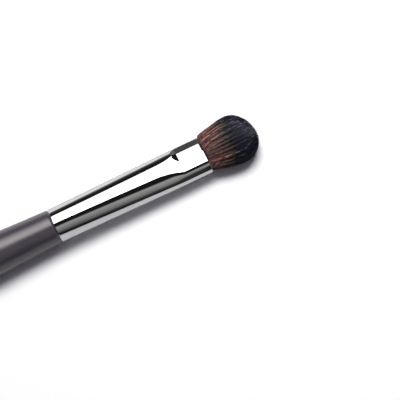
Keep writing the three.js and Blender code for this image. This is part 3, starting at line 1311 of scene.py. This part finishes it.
@dataclass
class TieThread:
    """Waxed two-ply thread wound round the hair roots inside the ferrule."""

    ferrule: Ferrule
    finish: ThreadFinish = ThreadFinish()
    diameter: float = 0.5 * MM
    turns: int = 4
    pitch: float = 0.95 * MM
    root_setback: float = 11.5 * MM
    root_length: float = 5.0 * MM
    resin_wall: float = 0.3 * MM
    steps: int = 56
    sides: int = 12
    ply_depth: float = 0.22
    ply_twist: float = 4.5

    def build(self, axes: BrushAxes) -> bpy.types.Object:
        """Winds the thread as one unbroken tube.

        Args:
            axes: The brush's axes in the frame.

        Returns:
            The thread.
        """
        root_front = self.ferrule.length - self.root_setback
        root_back = root_front - self.root_length
        margin = self.ferrule.wall + 2 * self.ferrule.seat_gap + self.resin_wall + self.diameter / 2
        half_width = self.ferrule.half_sizes(root_back)[0] - margin
        half_thickness = self.ferrule.half_sizes(root_front)[1] - margin
        turn = np.linspace(0.0, self.turns, self.turns * self.steps + 1)
        angle = 2 * math.pi * turn
        along = (root_back + root_front - self.turns * self.pitch) / 2 + turn * self.pitch
        middle = np.column_stack([along, half_width * np.cos(angle), half_thickness * np.sin(angle)])
        tangent = np.gradient(middle, axis=0)
        tangent /= np.linalg.norm(tangent, axis=1, keepdims=True)
        outward = np.column_stack([np.zeros(len(turn)), np.cos(angle), np.sin(angle)])
        side = np.cross(tangent, outward)
        side /= np.linalg.norm(side, axis=1, keepdims=True)
        outward = np.cross(side, tangent)
        around = 2 * math.pi * np.arange(self.sides) / self.sides
        rings = []
        for centre, out, aside, wound in zip(middle, outward, side, angle):
            plies = np.abs(np.cos(around - self.ply_twist * wound))
            radius = self.diameter / 2 * (1 - self.ply_depth * (1 - plies))
            ring = np.cos(around)[:, None] * out + np.sin(around)[:, None] * aside
            rings.append(centre + radius[:, None] * ring)
        faces = [face[::-1] for face in ring_faces(len(rings), self.sides, loop=False)]
        return new_piece("tie_thread_wound", axes.place(np.vstack(rings)), faces)

    def dress(self, thread: bpy.types.Object, effects: Effects) -> None:
        """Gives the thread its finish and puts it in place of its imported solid."""
        coat(thread, self.finish.material(effects), Slot.THREAD)
        stand_for(thread, Node.THREAD)


@dataclass(frozen=True)
class Studio:
    """Table, softbox, key lamp, dim surroundings and the photograph's camera."""

    table_size: float = 6.0
    table_white: Colour = (0.70, 0.70, 0.70, 1.0)
    table_seen: Colour = (1.14, 1.14, 1.14, 1.0)
    fade_edges: Span = (0.12, 0.40)

    # What polished metal mirrors of the table: white beyond the brush, painted shade in front of it and a
    # painted shadow under it
    table_far: Colour = (1.0, 1.0, 1.0, 1.0)
    table_near_painted_shade: Colour = (0.80, 0.80, 0.81, 1.0)
    table_under_painted_shadow: Colour = (0.20, 0.20, 0.20, 1.0)
    under_shadow_edges: Span = (8.0 * MM, 12.0 * MM)
    near_shade_edges: Span = (0.0, 5.0 * MM)

    # The softbox's panels lie between these angles from overhead towards the far side
    box_height: float = 0.60
    box_edges: tuple[float, float, float] = (0.0, math.radians(34.0), math.radians(51.5))
    box_radiance: Span = (4.3, 2.0)
    box_length: float = 0.65
    box_shift: float = 0.025

    key_place: tuple[float, float, float] = (0.20, 0.21, 0.62)
    key_size: Span = (0.40, 0.27)
    key_power: float = 4.4
    fill: Colour = (0.105, 0.100, 0.125, 1.0)

    # How light the walls are that polished metal mirrors, by degrees from overhead towards the near side
    wall_bands: tuple[Span, ...] = (
        (-91, 0.9),
        (-84, 0.14),
        (-76, 0.05),
        (-68, 0.014),
        (22, 0.012),
        (29, 0.43),
        (70, 0.10),
        (75, 0.016),
    )

    # The camera looks down from a little to the near side and behind, and sees the brush climb to the right
    tilt: float = math.radians(17.5)
    lean: float = 0.05
    climb: float = math.radians(25.5)
    distance: float = 0.45
    nearest: float = 0.01
    picture_width: float = 96.4 * MM
    aim_along: float = 34.25 * MM
    aim_aside: float = 9.27 * MM

    def build_table(self) -> None:
        """Makes the white table top."""
        half = self.table_size / 2
        corners = np.array([[-half, -half, 0.0], [half, -half, 0.0], [half, half, 0.0], [-half, half, 0.0]])
        table = new_piece("table", corners, [[0, 1, 2, 3]])
        table.data.materials.append(self.table_material())

    def table_material(self) -> bpy.types.Material:
        """Makes the table's white, which keeps the shadow and fades to plain white further off.

        Returns:
            The table's material.
        """
        material = bpy.data.materials.new("table_white")
        material.use_nodes = True
        graph = ShaderGraph(material.node_tree)
        rays = graph.add("LightPath").outputs
        coordinates = graph.add("TexCoord").outputs["Object"]
        place = graph.add("SeparateXYZ")
        graph.feed(place, Vector=coordinates)
        away = graph.add("VectorMath", operation="LENGTH")
        graph.feed(away, Vector=coordinates)
        # Painted shade for reflections: darker in front of the brush, a painted shadow under it
        near_shade_mask = graph.ramp(graph.math("MULTIPLY", place.outputs["Y"], -1.0), *self.near_shade_edges)
        past_under_shadow = graph.ramp(place.outputs["Y"], *self.under_shadow_edges)
        mirrored_with_painted_shade = graph.mix(past_under_shadow, self.table_under_painted_shadow, self.table_far)
        mirrored_with_painted_shade = graph.mix(near_shade_mask, mirrored_with_painted_shade, self.table_near_painted_shade)
        colour = graph.mix(rays["Is Glossy Ray"], self.table_white, mirrored_with_painted_shade)
        colour = graph.mix(rays["Is Camera Ray"], colour, self.table_seen)
        faded = graph.ramp(away.outputs["Value"], *self.fade_edges)
        lit = graph.feed(graph.add("BsdfDiffuse"), Color=colour)
        white = graph.add("Emission")
        shader = graph.add("MixShader")
        graph.feed(shader, Fac=graph.math("MULTIPLY", rays["Is Camera Ray"], faded))
        graph.give(shader.inputs[1], lit.outputs[0])
        graph.give(shader.inputs[2], white.outputs[0])
        graph.feed(graph.add("OutputMaterial"), Surface=shader.outputs[0])
        return material

    def build_softbox(self) -> None:
        """Hangs the softbox over the far side, a bright panel and a dimmer one, for reflections alone."""
        edges = [self.box_height * math.tan(edge) for edge in self.box_edges]
        for near_edge, far_edge, radiance in zip(edges, edges[1:], self.box_radiance):
            light = bpy.data.lights.new("softbox", "AREA")
            light.shape = "RECTANGLE"
            light.size = self.box_length
            light.size_y = far_edge - near_edge
            light.energy = radiance * math.pi * light.size * light.size_y
            lamp = bpy.data.objects.new("softbox", light)
            lamp.location = (self.box_shift, (near_edge + far_edge) / 2, self.box_height)
            lamp.visible_camera = False
            lamp.visible_diffuse = False
            bpy.context.scene.collection.objects.link(lamp)

    def build_key(self) -> None:
        """Adds the key lamp, high on the far side, for matt surfaces and the shadow; nothing mirrors it."""
        light = bpy.data.lights.new("key", "AREA")
        light.shape = "RECTANGLE"
        light.size, light.size_y = self.key_size
        light.energy = self.key_power
        lamp = bpy.data.objects.new("key", light)
        lamp.location = self.key_place
        lamp.rotation_euler = Vector(self.key_place).to_track_quat("Z", "Y").to_euler()
        lamp.visible_camera = False
        lamp.visible_glossy = False
        bpy.context.scene.collection.objects.link(lamp)

    def build_surroundings(self) -> None:
        """Lights the scene dimly from all round, and gives polished metal a dark studio to mirror."""
        world = bpy.data.worlds.new("studio")
        world.use_nodes = True
        bpy.context.scene.world = world
        graph = ShaderGraph(world.node_tree)
        direction = graph.add("SeparateXYZ")
        graph.feed(direction, Vector=graph.add("TexCoord").outputs["Generated"])
        near = graph.math("MULTIPLY", direction.outputs["Y"], -1.0)
        angle = graph.math("ARCTAN2", near, direction.outputs["Z"])
        turned = graph.math("ADD", graph.math("DIVIDE", angle, 2 * math.pi), 0.5)
        walls = graph.feed(graph.add("ValToRGB"), Fac=turned)
        stops = walls.color_ramp.elements
        while len(stops) < len(self.wall_bands):
            stops.new(1.0)
        for stop, (degrees, level) in zip(stops, self.wall_bands):
            stop.position = degrees / 360 + 0.5
            stop.color = (level, level, level, 1.0)
        rays = graph.add("LightPath").outputs
        seen = graph.mix(rays["Is Glossy Ray"], self.fill, walls.outputs[0])
        seen = graph.mix(rays["Is Camera Ray"], seen, WHITE)
        shader = graph.feed(graph.add("Background"), Color=seen)
        graph.feed(graph.add("OutputWorld"), Surface=shader.outputs[0])

    def build_camera(self, axes: BrushAxes) -> None:
        """Sets the camera where the photograph was taken from.

        Args:
            axes: The brush's axes in the frame.
        """
        towards = axes.up * math.cos(self.tilt) - axes.across * math.sin(self.tilt) - axes.along * self.lean
        towards.normalize()
        axis_seen = (axes.along - towards * axes.along.dot(towards)).normalized()
        away = towards.cross(axis_seen)
        right = axis_seen * math.cos(self.climb) - away * math.sin(self.climb)
        upwards = axis_seen * math.sin(self.climb) + away * math.cos(self.climb)
        aim = axes.on_axis(self.aim_along) - away * self.aim_aside
        turn = Matrix((right, upwards, towards)).transposed()
        data = bpy.data.cameras.new("camera")
        data.angle = 2 * math.atan(self.picture_width / 2 / self.distance)
        data.clip_start = self.nearest
        camera = bpy.data.objects.new("camera", data)
        camera.matrix_world = Matrix.LocRotScale(aim + towards * self.distance, turn, None)
        bpy.context.scene.collection.objects.link(camera)
        bpy.context.scene.camera = camera


def find_axes(record: dict, ferrule: Ferrule) -> BrushAxes:
    """Works out the brush's axes from the place of the ferrule's upper flat.

    Args:
        record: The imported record.
        ferrule: The ferrule that has the flat.

    Returns:
        The brush's axes in the frame.
    """
    flat = next(mount for mount in record["mounts"] if mount["name"] == "upper_flat")
    up = Vector(flat["axis"]).normalized()
    along = Vector((up.z, 0.0, -up.x))
    middle = ferrule.length - ferrule.press_length / 2
    origin = Vector(flat["pos_m"]) - along * middle - up * (ferrule.press_thickness / 2)
    return BrushAxes(origin, along, up)


def report(piece: bpy.types.Object) -> None:
    """Logs a finished piece."""
    log.info("%s: %d points, %s", piece.name, len(piece.data.vertices), piece.active_material.name)


def main() -> None:
    """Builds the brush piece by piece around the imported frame."""
    logging.basicConfig(level=logging.INFO, format="%(name)s: %(message)s")
    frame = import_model()
    bpy.context.scene.view_settings.view_transform = "Standard"
    effects = Effects()
    ferrule = Ferrule()
    axes = find_axes(frame["record"], ferrule)

    shell = ferrule.build(axes)
    ferrule.dress(shell, effects)
    report(shell)

    handle = Handle(ferrule)
    turned = handle.build(axes)
    handle.dress(turned, effects)
    report(turned)

    tuft = Tuft(ferrule)
    layers = tuft.build(axes)
    tuft.dress(layers, effects)
    for piece in layers.values():
        report(piece)

    thread = TieThread(ferrule)
    wound = thread.build(axes)
    thread.dress(wound, effects)
    report(wound)

    for cast in (RESIN_PLUG, GLUE_SLEEVE):
        report(cast.dress(frame, effects))

    studio = Studio()
    studio.build_table()
    studio.build_softbox()
    studio.build_key()
    studio.build_surroundings()
    studio.build_camera(axes)


if __name__ == "__main__":
    main()
